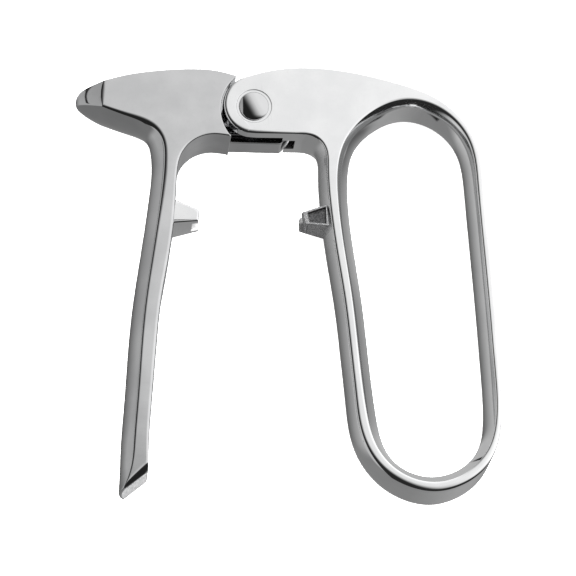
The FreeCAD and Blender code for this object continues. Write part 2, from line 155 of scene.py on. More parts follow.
# Fineness of the meshes: distance between points along an outline, then counts of points,
# rings and steps.
SPACING = 0.9
WALL_RINGS = 18
ROUND_RINGS = 7
CORNER_STEPS = 7
LEAST_POINTS = 9
TURN_STEPS = 96
DOME_STEPS = 28
COIL_STEPS = 130
LEG_STEPS = 12
WIRE_STEPS = 20
SIDE_STEPS = 12
WRAP = 6
TANGENT_ROUNDS = 12
WELD = 0.002
LEAST_EDGE = 0.001
EDGE_LIMIT = 0.9
TAPER_BLEND = 0.05
TAPER_FOCUS = 4

# Edges that turn by more degrees than this stay sharp; the weight favours large faces.
SHARP_CASTING = 32.0
SHARP_RIVET = 35.0
SHARP_WIRE = 40.0
FACE_WEIGHT = 60


# ---------------------------------------------------------------- outlines, as in the CAD model

def palm_outline(bulge):
    """The palm lever's outline as open stretches; bulge is 0 at a flat face and 1 at half depth."""
    top = bulge * BACK_CROWN
    end = bulge * NOSE_CROWN
    under = bulge * NOSE_UNDER_CROWN
    leg = bulge * LEG_CROWN
    upper_corner = (-5.3, 10.2)
    lower_corner = (-7.0, -10.4)
    nose_top = (-47.8 - 0.62 * end, 7.3 - 0.5 * top)
    nose_low = (-47.9 - 0.95 * end, -1.5 + 0.27 * end)
    toe = (-39.7 - 0.3 * leg, -125.6 - 0.2 * leg)
    heel = (-31.9, -119.2)
    back = [upper_corner, (-12.0, 11.8), (-20.0, 12.1 + top), (-33.0, 10.9 + top),
            (-42.5, 9.0 + top), nose_top]
    nose = [nose_top, (-48.0 - end, 2.6), nose_low]
    outer = [nose_low, (-41.5 - 0.3 * leg, -3.6 - under), (-35.6 - 0.3 * leg, -5.6 - under),
             (-31.2 - 0.7 * leg, -8.2 - 0.8 * under), (-28.6 - leg, -12.4), (-28.0 - leg, -18.0),
             (-28.5 - leg, -27.0), (-29.8 - leg, -38.0), (-31.7 - leg, -52.0), (-33.5 - leg, -66.0),
             (-34.7 - leg, -81.0), (-35.6 - leg, -97.0), (-36.4 - leg, -110.0),
             (-37.2 - 0.85 * leg, -118.5), toe]
    inner = [heel, (-31.9, -111.0), (-31.1, -97.0), (-30.0, -81.0), (-28.6, -65.0),
             (-26.1, -49.0), (-24.6, -34.0), (-24.1, -23.0), (-22.7, -16.3), (-18.9, -11.9),
             (-13.6, -9.9), lower_corner]
    hollow = [lower_corner, (-PALM_RECESS, -0.3), upper_corner]
    return [back, nose, outer, [toe, heel], inner, hollow]


def loop_outline(bulge):
    """The loop lever's outer outline as open stretches, from the ear's underside round."""
    left = bulge * LOOP_CROWN
    top = bulge * BACK_CROWN
    crest = (-4.3, 9.4)
    chin = (0.0, -FRONT_EAR_LOW)
    around = [(15.0 - 0.2 * left, -9.0), (19.8 - 0.7 * left, -10.0), (22.7 - 0.95 * left, -13.4),
              (23.4 - left, -19.5), (24.2 - left, -33.0), (26.1 - left, -48.0),
              (28.4 - left, -63.0), (30.2 - left, -79.0), (31.8 - left, -95.0),
              (34.2 - left, -108.5), (39.6 - 0.8 * left, -117.7), (47.4 - 0.4 * left, -123.2),
              (56.1, -125.2), (64.4, -123.1), (71.4, -118.0), (76.2, -109.3), (77.6, -98.0),
              (76.8, -79.0), (75.7, -61.0), (74.3, -43.0), (73.2, -28.0), (72.2, -16.0),
              (69.0, -6.4), (64.0, 0.2), (57.0, 5.2 + 0.4 * top), (47.0, 8.8 + top),
              (38.0, 11.1 + top), (28.0, 12.9 + top), (17.5, 13.6 + top), (9.0, 13.0 + top),
              (2.5, 11.6 + 0.5 * top), crest]
    rounded = [crest, (-FRONT_EAR_LEFT, 0.3), chin]
    return [around, rounded, [chin, (15.0 - 0.2 * left, -9.0)]]


def hole_outline(bulge):
    """The finger loop's outline: a blunt egg, narrower at half depth than at its rims."""
    left = bulge * HOLE_CROWN_LEFT
    right = bulge * HOLE_CROWN_RIGHT
    top = bulge * HOLE_CROWN_TOP
    low = bulge * HOLE_CROWN_BOTTOM
    return [(26.4 + left, -21.5), (28.8 + 0.85 * left, -10.8 - 0.3 * top),
            (36.6 + 0.5 * left, -1.2 - 0.8 * top), (49.0, 3.9 - top),
            (61.0 - 0.45 * right, 0.0 - 0.85 * top), (68.9 - 0.9 * right, -10.4 - 0.4 * top),
            (71.1 - right, -24.0), (72.6 - right, -44.0), (74.1 - right, -64.0),
            (75.4 - right, -84.0), (75.9 - right, -99.0), (73.2 - 0.8 * right, -111.0 + 0.4 * low),
            (65.6 - 0.4 * right, -119.2 + 0.85 * low), (56.0, -122.1 + low),
            (46.0 + 0.35 * left, -119.3 + 0.85 * low), (38.4 + 0.8 * left, -111.2 + 0.4 * low),
            (34.8 + left, -98.5), (32.7 + left, -81.0), (30.8 + left, -63.0),
            (28.2 + left, -45.0), (26.6 + left, -31.0)]


# Radius of the rounded front and back edges along each stretch, evenly spaced values, and
# how far each stretch's first corner is cut back to round it.
PALM_EDGES = [[0.3, 0.35, 0.35, 0.5], [1.2, 2.9, 2.6, 0.8],
              [0.8, 2.0, 2.4, 1.6, 1.4, 1.4, 1.4, 1.2, 0.5], [0.4, 0.5],
              [0.7, 1.1, 1.2, 1.2, 1.2, 1.2, 1.0, 0.7, 0.5], [0.35, 0.35]]
PALM_CORNERS = [0.8, 1.0, 0.8, 1.8, 0.6, 0.5]
LOOP_EDGES = [[0.9, 1.1, 1.3, 1.4, 1.5, 1.7, 1.8, 1.2, 0.8, 0.6, 0.6, 0.5, 0.4, 0.4, 0.4, 0.5],
              [0.8, 1.3, 1.3, 1.3], [1.3, 0.9, 0.7]]
LOOP_CORNERS = [1.5, 0.6, 2.0]
EAR_EDGE = 0.3
EAR_CORNERS = [0.2, 0.6, 0.5, 0.4, 0.2, 0.2, 0.2]
HOLE_EDGE = [0.5, 1.1, 1.5, 0.9, 0.8, 0.8, 1.0, 1.1, 0.9, 0.5, 0.5]


# ---------------------------------------------------------------- curves

def running_length(points):
    """Distance along the points from the first to each."""
    steps = np.linalg.norm(np.diff(points, axis=0), axis=1)
    return np.concatenate([[0.0], np.cumsum(steps)])


def smooth_values(knots, values, places):
    """A cubic curve through the values at the knots, free at its ends, read at the places."""
    gaps = np.diff(knots)
    slopes = np.diff(values, axis=0) / gaps[:, None]
    count = len(knots)
    system = np.eye(count)
    known = np.zeros_like(values)
    for i in range(1, count - 1):
        system[i, i - 1:i + 2] = gaps[i - 1], 2 * (gaps[i - 1] + gaps[i]), gaps[i]
        known[i] = 6 * (slopes[i] - slopes[i - 1])
    bend = np.linalg.solve(system, known)
    span = np.clip(np.searchsorted(knots, places) - 1, 0, count - 2)
    gap = gaps[span][:, None]
    after = (places - knots[span])[:, None]
    before = gap - after
    return ((bend[span] * before ** 3 + bend[span + 1] * after ** 3) / (6 * gap)
            + (values[span] / gap - bend[span] * gap / 6) * before
            + (values[span + 1] / gap - bend[span + 1] * gap / 6) * after)


def arc_through(points, count):
    """Points along the circular arc through three points."""
    a, b, c = (complex(*p) for p in points)
    w = (c - a) / (b - a)
    centre = (b - a) * (w - abs(w) ** 2) / (2j * w.imag) + a
    radius = abs(a - centre)
    middle = np.angle((b - centre) / (a - centre))
    sweep = np.angle((c - centre) / (a - centre))
    if sweep * middle < 0:
        sweep += math.copysign(2 * math.pi, middle)
    angles = np.angle(a - centre) + np.linspace(0.0, sweep, count)
    return np.stack([centre.real + radius * np.cos(angles),
                     centre.imag + radius * np.sin(angles)], axis=1)


def stretch_points(flat, full, radii):
    """One stretch as rows of flat X, Y, half-depth X, Y and edge radius."""
    length = running_length(flat)
    count = max(LEAST_POINTS, int(length[-1] / SPACING))
    places = np.linspace(0.0, length[-1], count)
    if len(flat) == 3:
        pair = [arc_through(flat, count), arc_through(full, count)]
    elif len(flat) == 2:
        share = (places / length[-1])[:, None]
        pair = [p[0] + share * (p[1] - p[0]) for p in (flat, full)]
    else:
        pair = [smooth_values(length, p, places) for p in (flat, full)]
    spread = np.interp(places / length[-1], np.linspace(0, 1, len(radii)), radii)
    return np.column_stack(pair + [spread])


def round_corner(rows, corner, cut):
    """Replace the rows within the cut of a corner by a smooth bend."""
    distance = np.linalg.norm(rows[:, :2] - rows[corner, :2], axis=1)
    first = corner - 1
    while distance[first] < cut:
        first -= 1
    last = corner + 1
    while distance[last] < cut:
        last += 1
    starts = []
    for near, far in ((first + 1, first), (last - 1, last)):
        share = (cut - distance[near]) / (distance[far] - distance[near])
        starts.append(rows[near] + share * (rows[far] - rows[near]))
    t = np.linspace(0.0, 1.0, CORNER_STEPS)[:, None]
    bend = (1 - t) ** 2 * starts[0] + 2 * t * (1 - t) * rows[corner] + t ** 2 * starts[1]
    return np.concatenate([rows[:first + 1], bend, rows[last:]])


def trace(outline, edges, cuts):
    """A closed outline made of open stretches, with its corners rounded."""
    parts = []
    corners = []
    total = 0
    for flat, full, radii in zip(outline(0.0), outline(1.0), edges):
        part = stretch_points(np.array(flat, float), np.array(full, float), radii)[:-1]
        corners.append(total)
        total += len(part)
        parts.append(part)
    rows = np.concatenate(parts)
    shift = len(parts[-1]) // 2
    rows = np.roll(rows, shift, axis=0)
    for corner, cut in sorted(zip(corners, cuts), reverse=True):
        if cut > 0:
            rows = round_corner(rows, corner + shift, cut)
    return rows


def trace_round(outline, radii):
    """A closed outline that is smooth all round."""
    flat, full = (np.array(outline(bulge), float) for bulge in (0.0, 1.0))
    flat = np.concatenate([flat[-WRAP:], flat, flat[:WRAP + 1]])
    full = np.concatenate([full[-WRAP:], full, full[:WRAP + 1]])
    length = running_length(flat)
    start, end = length[WRAP], length[-WRAP - 1]
    count = int((end - start) / SPACING)
    places = np.linspace(start, end, count, endpoint=False)
    pair = [smooth_values(length, p, places) for p in (flat, full)]
    spread = np.interp(np.linspace(0, 1, count), np.linspace(0, 1, len(radii)), radii)
    return np.column_stack(pair + [spread])


def polygon_rows(corners, cut, radius):
    """A straight-sided outline with its corners rounded, the same at every height."""
    return trace(lambda bulge: [[a, b] for a, b in zip(corners, corners[1:] + corners[:1])],
                 [[radius]] * len(corners), [cut] * len(corners))


def polar(radius, degrees):
    """A point at a radius and an angle round the pivot."""
    angle = math.radians(degrees)
    return (radius * math.cos(angle), radius * math.sin(angle))


# ---------------------------------------------------------------- meshes

def new_piece(name, bm, material):
    """An object in the scene from a finished bmesh."""
    mesh = bpy.data.meshes.new(name)
    bm.to_mesh(mesh)
    bm.free()
    piece = bpy.data.objects.new(name, mesh)
    bpy.context.scene.collection.objects.link(piece)
    mesh.materials.append(material)
    return piece


def outward(rows):
    """Unit vectors pointing out of the outline, at the flat faces."""
    flat = rows[:, :2]
    along = np.roll(flat, -1, axis=0) - np.roll(flat, 1, axis=0)
    along /= np.linalg.norm(along, axis=1)[:, None]
    area = np.sum(flat[:, 0] * np.roll(flat[:, 1], -1) - flat[:, 1] * np.roll(flat[:, 0], -1))
    return np.stack([along[:, 1], -along[:, 0]], axis=1) * math.copysign(1.0, area)


def wall_rings(rows, low, high, hole=False):
    """Rings of points up a crowned wall with rounded edges, from the lower face to the upper."""
    half = (high - low) / 2
    out = outward(rows) * (-1.0 if hole else 1.0)
    flat = rows[:, :2]
    crown = rows[:, 2:4] - flat
    reach = np.sum(crown * out, axis=1)
    radius = np.minimum(rows[:, 4], EDGE_LIMIT * half)
    centre = half - radius
    tangent = centre.copy()
    for _ in range(TANGENT_ROUNDS):
        slope = np.arctan(2 * reach * tangent / half ** 2)
        tangent = centre + radius * np.sin(slope)
    share = 1 - (tangent / half) ** 2
    inner = reach * share - radius * np.cos(slope)
    upper = []
    for step in np.linspace(0.0, 1.0, ROUND_RINGS):
        angle = slope + step * (math.pi / 2 - slope)
        aside = inner + radius * np.cos(angle) - reach * share
        place = flat + crown * share[:, None] + out * aside[:, None]
        upper.append(np.column_stack([place, centre + radius * np.sin(angle)]))
    walls = []
    for level in np.linspace(-1.0, 1.0, WALL_RINGS)[1:-1]:
        height = level * tangent
        place = flat + crown * (1 - (height / half) ** 2)[:, None]
        walls.append(np.column_stack([place, height]))
    lower = [ring * np.array([1, 1, -1]) for ring in reversed(upper)]
    return [ring + np.array([0, 0, low + half]) for ring in lower + walls + upper]


def add_rings(bm, rings):
    """Join rings of points into a tube; returns its first and last ring of vertices."""
    made = [[bm.verts.new(Vector(p) * MM) for p in ring] for ring in rings]
    for below, above in zip(made, made[1:]):
        for i in range(len(below)):
            j = (i + 1) % len(below)
            bm.faces.new((below[i], below[j], above[j], above[i]))
    return made[0], made[-1]


def cap(bm, loops):
    """Fill the flat face bounded by one or more rings of vertices."""
    edges = [bm.edges.get((ring[i - 1], ring[i])) for ring in loops for i in range(len(ring))]
    bmesh.ops.triangle_fill(bm, edges=edges, use_beauty=True)


def crowned_solid(name, rows, low, high, material, hole_rows=None):
    """A plate from one height to another with crowned walls, and a hole through it if given."""
    bm = bmesh.new()
    ends = [add_rings(bm, wall_rings(rows, low, high))]
    if hole_rows is not None:
        ends.append(add_rings(bm, wall_rings(hole_rows, low, high, hole=True)))
    cap(bm, [end[0] for end in ends])
    cap(bm, [end[1] for end in ends])
    bmesh.ops.recalc_face_normals(bm, faces=bm.faces)
    return new_piece(name, bm, material)


def turned_solid(name, profile, material):
    """A solid of revolution round the pivot from its profile of radius and height."""
    bm = bmesh.new()
    angles = [2 * math.pi * i / TURN_STEPS for i in range(TURN_STEPS)]
    rings = []
    for radius, height in profile[1:-1]:
        rings.append([(radius * math.cos(a), radius * math.sin(a), height) for a in angles])
    first, last = add_rings(bm, rings)
    for ring, (_, height) in ((first, profile[0]), (last, profile[-1])):
        tip = bm.verts.new((0.0, 0.0, height * MM))
        for i in range(TURN_STEPS):
            bm.faces.new((ring[i - 1], ring[i], tip))
    bmesh.ops.recalc_face_normals(bm, faces=bm.faces)
    return new_piece(name, bm, material)


def bend_profile(centre, radius, start, end):
    """Points of radius and height along a rounded edge of a turned profile."""
    angles = np.radians(np.linspace(start, end, ROUND_RINGS))
    return [(centre[0] + radius * math.cos(a), centre[1] + radius * math.sin(a)) for a in angles]


def combine(piece, other, operation):
    """Join the other solid to the piece, or cut it out of the piece, and use the other up."""
    change = piece.modifiers.new("change", "BOOLEAN")
    change.operation = operation
    change.solver = "EXACT"
    change.material_mode = "TRANSFER"
    change.object = other
    bpy.context.view_layer.update()
    ready = piece.evaluated_get(bpy.context.evaluated_depsgraph_get())
    mesh = bpy.data.meshes.new_from_object(ready)
    piece.modifiers.clear()
    piece.data = mesh
    bpy.data.objects.remove(other)


def finish_shading(piece, sharp_degrees):
    """Clean the mesh up, shade it smooth and keep only its real edges sharp."""
    bm = bmesh.new()
    bm.from_mesh(piece.data)
    bmesh.ops.remove_doubles(bm, verts=bm.verts, dist=WELD * MM)
    bmesh.ops.dissolve_degenerate(bm, edges=bm.edges, dist=LEAST_EDGE * MM)
    bm.to_mesh(piece.data)
    bm.free()
    piece.data.name = piece.name
    piece.data.shade_smooth()
    piece.data.set_sharp_from_angle(angle=math.radians(sharp_degrees))
    weigh = piece.modifiers.new("weigh", "WEIGHTED_NORMAL")
    weigh.keep_sharp = True
    weigh.weight = FACE_WEIGHT


# ---------------------------------------------------------------- materials

# Patterns in the metal: how fine each is, per metre, and where its share starts and ends.
CLOUDS = 90.0
POLISH_RANGE = (0.3, 0.7)
TONE_RANGE = (0.25, 0.75)
SCRATCHES = 60.0
SCRATCH_THIN = 55.0
SCRATCH_TURNS = (0.35, -0.9)
SCRATCH_TILT = 0.3
SCRATCH_RANGE = (0.68, 0.74)
SCRATCH_DULL = 0.05
SCRATCH_DEEP = 0.04
RIPPLES = 160.0
SAND = 2200.0
SAND_RANGE = (0.36, 0.64)

# Where the casting's skin shows on the loop lever's left wall, in mm, and how rough it is.
SKIN_LOW = -50.0
SKIN_HIGH = -12.0
SKIN_FADE = 4.0
SKIN_NEAR = 24.0
SKIN_FAR = 28.0
SKIN_FACING = (-0.75, -0.4)
SKIN_PATCHES = 260.0
PATCH_RANGE = (0.38, 0.52)
SKIN_SAND = 1300.0
SKIN_DULL = 0.14
SKIN_GRAIN = 8.0


def links_into(tree, node, socket, source):
    """Feed the source into the node's named socket."""
    tree.links.new(source, node.inputs[socket])


def noise(tree, coordinates, scale, detail, stretch=(1.0, 1.0, 1.0), turn=0.0):
    """A noise pattern with features of 1/scale metres, drawn out along the stretched axis."""
    mapping = tree.nodes.new("ShaderNodeMapping")
    mapping.inputs["Scale"].default_value = stretch
    mapping.inputs["Rotation"].default_value = (0.0, SCRATCH_TILT * turn, turn)
    tree.links.new(coordinates, mapping.inputs["Vector"])
    pattern = tree.nodes.new("ShaderNodeTexNoise")
    pattern.inputs["Scale"].default_value = scale
    pattern.inputs["Detail"].default_value = detail
    tree.links.new(mapping.outputs["Vector"], pattern.inputs["Vector"])
    return pattern.outputs["Fac"]


def ranged(tree, source, low, high, to_low, to_high):
    """The source's low to high range stretched onto a new range."""
    node = tree.nodes.new("ShaderNodeMapRange")
    node.interpolation_type = "SMOOTHSTEP"
    node.inputs["From Min"].default_value = low
    node.inputs["From Max"].default_value = high
    node.inputs["To Min"].default_value = to_low
    node.inputs["To Max"].default_value = to_high
    tree.links.new(source, node.inputs["Value"])
    return node.outputs["Result"]


def ranged_linear(tree, source, low, high, to_low, to_high):
    """The same in a straight line, held at its ends."""
    result = ranged(tree, source, low, high, to_low, to_high)
    result.node.interpolation_type = "LINEAR"
    return result


def maths(tree, operation, first, second=None):
    """A Math node on sockets or plain numbers."""
    node = tree.nodes.new("ShaderNodeMath")
    node.operation = operation
    for place, value in enumerate((first, second)):
        if isinstance(value, (int, float)):
            node.inputs[place].default_value = value
        elif value is not None:
            tree.links.new(value, node.inputs[place])
    return node.outputs["Value"]


def added(tree, first, second):
    """The sum of two values."""
    return maths(tree, "ADD", first, second)


def product(tree, *shares):
    """All the shares multiplied together."""
    result = shares[0]
    for share in shares[1:]:
        result = maths(tree, "MULTIPLY", result, share)
    return result


def tinted(tree, share, low, high):
    """A colour between two greys by the share."""
    node = tree.nodes.new("ShaderNodeMix")
    node.data_type = "RGBA"
    first_colour, second_colour = 6, 7
    node.inputs[first_colour].default_value = (*low, 1.0)
    node.inputs[second_colour].default_value = (*high, 1.0)
    tree.links.new(share, node.inputs[0])
    return node.outputs[2]


def plated_metal(name, dark, light, gloss, grain):
    """Plated metal: uneven polish, fine scratches both ways and faint ripples.

    gloss is the roughness at its smoothest and dullest; grain is the height of the ripples in mm.
    """
    material = bpy.data.materials.new(name)
    material.use_nodes = True
    tree = material.node_tree
    shader = tree.nodes["Principled BSDF"]
    shader.inputs["Metallic"].default_value = 1.0
    where = tree.nodes.new("ShaderNodeTexCoord").outputs["Object"]
    cloudy = noise(tree, where, CLOUDS, 4.0)
    polish = ranged(tree, cloudy, *POLISH_RANGE, *gloss)
    thin = (1.0, SCRATCH_THIN, SCRATCH_THIN)
    scratches = []
    for turn in SCRATCH_TURNS:
        fine = noise(tree, where, SCRATCHES, 6.0, stretch=thin, turn=turn)
        scratches.append(ranged(tree, fine, *SCRATCH_RANGE, 0.0, 1.0))
    both = added(tree, *scratches)
    dulled = ranged(tree, both, 0.0, 1.0, 0.0, SCRATCH_DULL)
    links_into(tree, shader, "Roughness", added(tree, polish, dulled))
    tone = tinted(tree, ranged(tree, cloudy, *TONE_RANGE, 0.0, 1.0), dark, light)
    links_into(tree, shader, "Base Color", tone)
    ripple = noise(tree, where, RIPPLES, 2.0)
    height = added(tree, ripple, ranged(tree, both, 0.0, 1.0, 0.0, -SCRATCH_DEEP))
    bump = tree.nodes.new("ShaderNodeBump")
    bump.inputs["Strength"].default_value = 1.0
    bump.inputs["Distance"].default_value = grain * MM
    links_into(tree, bump, "Height", height)
    links_into(tree, shader, "Normal", bump.outputs["Normal"])
    return material


def cast_metal(name, dark, light, gloss, grain, metallic=1.0):
    """Plated but unpolished casting, as inside the hinge: dull, sandy and speckled; the dark tones it
    is given there are painted shade.
    """
    material = plated_metal(name, dark, light, gloss, grain)
    tree = material.node_tree
    shader = tree.nodes["Principled BSDF"]
    shader.inputs["Metallic"].default_value = metallic
    where = tree.nodes["Texture Coordinate"].outputs["Object"]
    sandy = noise(tree, where, SAND, 3.0)
    bump = tree.nodes["Bump"]
    height = added(tree, bump.inputs["Height"].links[0].from_socket, sandy)
    links_into(tree, bump, "Height", height)
    speckle = ranged(tree, sandy, *SAND_RANGE, 0.0, 1.0)
    links_into(tree, shader, "Base Color", tinted(tree, speckle, dark, light))
    return material


def add_cast_skin(material, low, high, grain):
    """Let the casting's skin show through the polish on walls that face -X between two heights Y.

    low and high are in metres; grain is the skin's height as a multiple of the polish's ripples.
    """
    tree = material.node_tree
    shader = tree.nodes["Principled BSDF"]
    coordinates = tree.nodes["Texture Coordinate"]
    place = tree.nodes.new("ShaderNodeSeparateXYZ")
    facing = tree.nodes.new("ShaderNodeSeparateXYZ")
    tree.links.new(coordinates.outputs["Object"], place.inputs[0])
    tree.links.new(coordinates.outputs["Normal"], facing.inputs[0])
    fade = SKIN_FADE * MM
    patchy = noise(tree, coordinates.outputs["Object"], SKIN_PATCHES, 4.0)
    share = product(tree,
                    ranged(tree, place.outputs["Y"], low - fade, low + fade, 0.0, 1.0),
                    ranged(tree, place.outputs["Y"], high - fade, high + fade, 1.0, 0.0),
                    ranged(tree, place.outputs["X"], SKIN_NEAR * MM, SKIN_FAR * MM, 1.0, 0.0),
                    ranged(tree, facing.outputs["X"], *SKIN_FACING, 1.0, 0.0),
                    ranged(tree, patchy, *PATCH_RANGE, 0.0, 1.0))
    sandy = noise(tree, coordinates.outputs["Object"], SKIN_SAND, 3.0)
    bump = tree.nodes["Bump"]
    smooth_height = bump.inputs["Height"].links[0].from_socket
    raised = product(tree, share, ranged(tree, sandy, 0.0, 1.0, 0.0, grain))
    links_into(tree, bump, "Height", added(tree, smooth_height, raised))
    polish = shader.inputs["Roughness"].links[0].from_socket
    rougher = ranged(tree, share, 0.0, 1.0, 0.0, SKIN_DULL)
    links_into(tree, shader, "Roughness", added(tree, polish, rougher))


# Darkest and lightest colour of each metal, its roughness and the height of its ripples.
chrome = plated_metal("polished_chrome", (0.83, 0.835, 0.84), (0.91, 0.913, 0.915),
                      gloss=(0.05, 0.09), grain=0.002)
add_cast_skin(chrome, SKIN_LOW * MM, SKIN_HIGH * MM, SKIN_GRAIN)
# A darker copy of the lever chrome for the palm lever: painted shade for the dimmer reflections its
# faces show.
shaded_chrome = plated_metal("chrome_painted_shade", (0.58, 0.583, 0.588), (0.67, 0.673, 0.677),
                      gloss=(0.05, 0.09), grain=0.002)
head_chrome = plated_metal("rivet_chrome", (0.59, 0.593, 0.597), (0.65, 0.653, 0.656),
                           gloss=(0.05, 0.08), grain=0.001)
wire_steel = plated_metal("spring_wire", (0.35, 0.35, 0.36), (0.55, 0.55, 0.56),
                          gloss=(0.2, 0.32), grain=0.004)
sanded_end = cast_metal("sanded_end", (0.22, 0.22, 0.223), (0.46, 0.46, 0.463),
                        gloss=(0.42, 0.6), grain=0.02, metallic=0.2)
# A light, nearly matte grey for the notch across the palm tooth's tip: a painted reflection in place of
# its polished wall's mirrored light.
painted_glint_cut = cast_metal("painted_glint_cut", (0.44, 0.44, 0.44), (0.55, 0.55, 0.55),
                        gloss=(0.4, 0.55), grain=0.005, metallic=0.1)
# Unpolished casting for the hinge's insides, the bores and the lug; its dark tones are also painted
# shade in these recesses.
rough_cast_and_shade = cast_metal("unpolished_casting_and_shade", (0.16, 0.16, 0.165), (0.34, 0.34, 0.345),
                        gloss=(0.3, 0.5), grain=0.02)
# A darker, duller plating for the loop lever's tooth and its notch: its dark tones are painted shade
# for the dark reflections in the tooth's walls.
painted_shade_plate = cast_metal("painted_shade_plate", (0.25, 0.25, 0.254), (0.40, 0.40, 0.405),
                        gloss=(0.14, 0.26), grain=0.006, metallic=0.9)
# A near-black, nearly matte finish for the hollow in the loop tooth's top: painted shade inside the
# hollow.
hollow_painted_shade = cast_metal("hollow_painted_shade", (0.010, 0.010, 0.0105), (0.045, 0.045, 0.046),
                       gloss=(0.4, 0.6), grain=0.03, metallic=0.15)


# ---------------------------------------------------------------- the palm lever

def block(name, corners, low, high, material, cut=0.05, radius=0.04):
    """A straight-sided solid between two heights, its edges eased a little."""
    rows = polygon_rows(corners, cut, radius)
    return crowned_solid(name, rows, low, high, material)


def side_points(corners):
    """Points evenly spaced along each side of a straight-sided outline."""
    sides = zip(corners, corners[1:] + corners[:1])
    return np.concatenate([np.linspace(a, b, SIDE_STEPS, endpoint=False) for a, b in sides])


def tapered_block(name, lower, upper, material, cut, radius):
    """A tooth: straight-sided, its outline changing evenly from its lower to its upper face.

    Each point moves by as much as the parts of the outline nearest to it.
    """
    piece = block(name, upper, TOOTH_BOTTOM, TOOTH_TOP, material, cut, radius)
    upper_points, lower_points = side_points(upper), side_points(lower)
    for vert in piece.data.vertices:
        place = np.array(vert.co.xy) / MM
        distance = np.linalg.norm(upper_points - place, axis=1)
        nearness = 1.0 / (distance + TAPER_BLEND) ** TAPER_FOCUS
        shift = nearness @ (lower_points - upper_points) / nearness.sum()
        share = (TOOTH_TOP - vert.co.z / MM) / TOOTH_DEEP
        vert.co.xy += Vector(share * shift * MM)
    return piece


def bore(name, radius, low, high, material):
    """A plain cylinder round the pivot, used to cut a bore."""
    return turned_solid(name, [(0, low), (radius, low), (radius, high), (0, high)], material)


def rear_ear_rows():
    """The ear under the loop lever's recess, with the stop notch in its rim."""
    heel = (REAR_EAR_HEEL, -REAR_EAR_LOW)
    shoulder = polar(REAR_EAR_RADIUS, NOTCH_START)
    notch_right = polar(NOTCH_FLOOR, NOTCH_START)
    notch_left = polar(NOTCH_FLOOR, NOTCH_END)
    notch_rim = polar(REAR_EAR_HIGH / math.sin(math.radians(NOTCH_END)), NOTCH_END)
    arm_top = (-ARM_REACH, REAR_EAR_HIGH)
    arm_low = (-ARM_REACH, -REAR_EAR_LOW)
    stretches = [[arm_low, heel],
                 [heel, polar(REAR_EAR_RADIUS, SHOULDER_LOW), shoulder],
                 [shoulder, notch_right],
                 [notch_right, polar(NOTCH_FLOOR, 0.5 * (NOTCH_START + NOTCH_END)), notch_left],
                 [notch_left, notch_rim], [notch_rim, arm_top], [arm_top, arm_low]]
    return trace(lambda bulge: stretches, [[EAR_EDGE]] * len(stretches), EAR_CORNERS)


def tooth_valley(name, tip, side, material):
    """The cutter for the notch across a tooth's tip; side is +1 if the tooth lies at +X of it."""
    low = TOOTH_BOTTOM + TOOTH_PRONG
    inward = tip + side * VALLEY_LONG
    beyond = tip - side * VALLEY_LONG
    corners = [(inward, VALLEY_LOW), (beyond, VALLEY_LOW), (beyond, VALLEY_HIGH), (inward, VALLEY_HIGH)]
    return block(name, corners, low, low + TOOTH_DEEP - 2 * TOOTH_PRONG, material)


def slanted_end():
    """The toe and heel of the leg's slanted end, the way from one to the other and the way out."""
    toe, heel = (Vector((x, y, 0.0)) * MM for x, y in palm_outline(0.0)[3])
    along = (heel - toe).normalized()
    return toe, heel, along, Vector((along.y, -along.x, 0.0))


def roll_off_toe(piece):
    """Stoop the leg's front face towards the toe and slope it off beside the slanted end.

    The slope starts gently, is steep by the middle of its reach, and is widest at the heel.
    """
    toe, heel, along, out = slanted_end()
    bm = bmesh.new()
    bm.from_mesh(piece.data)
    cuts = [(heel - out * back * MM, out)
            for back in np.linspace(ROLL_START, ROLL_LARGE, ROLL_CUTS)]
    cuts += [(Vector((0.0, y * MM, 0.0)), Vector((0.0, 1.0, 0.0)))
             for y in np.linspace(STOOP_START, STOOP_START - STOOP_LONG, ROLL_CUTS)]
    for place, across in cuts:
        everything = bm.verts[:] + bm.edges[:] + bm.faces[:]
        bmesh.ops.bisect_plane(bm, geom=everything, plane_co=place, plane_no=across)
    width = (heel - toe).length
    steepest = math.tan(math.radians(ROLL_STEEP))
    for vert in bm.verts:
        back = (heel - vert.co).dot(out) / MM
        share = min(1.0, max(0.0, (vert.co - toe).dot(along) / width))
        reach = ROLL_SMALL + (ROLL_LARGE - ROLL_SMALL) * share ** ROLL_GROWTH
        inside = max(0.0, 1.0 - max(0.0, back) / reach)
        gentle = min(inside, 0.5)
        fall = reach * steepest * (gentle ** 3 / 0.75 + inside - gentle)
        fall += STOOP * max(0.0, (STOOP_START - vert.co.y / MM) / STOOP_LONG) ** 2
        vert.co.z -= fall * (vert.co.z / MM / DEPTH) ** 2 * MM
    bm.to_mesh(piece.data)
    bm.free()


def dull_toe(piece, material):
    """Give the leg's slanted end its unpolished finish."""
    _, heel, _, out = slanted_end()
    piece.data.materials.append(material)
    last = len(piece.data.materials) - 1
    for face in piece.data.polygons:
        near = (heel - face.center).dot(out) < END_DEPTH * MM
        if near and face.normal.dot(out) > END_FACING:
            face.material_index = last


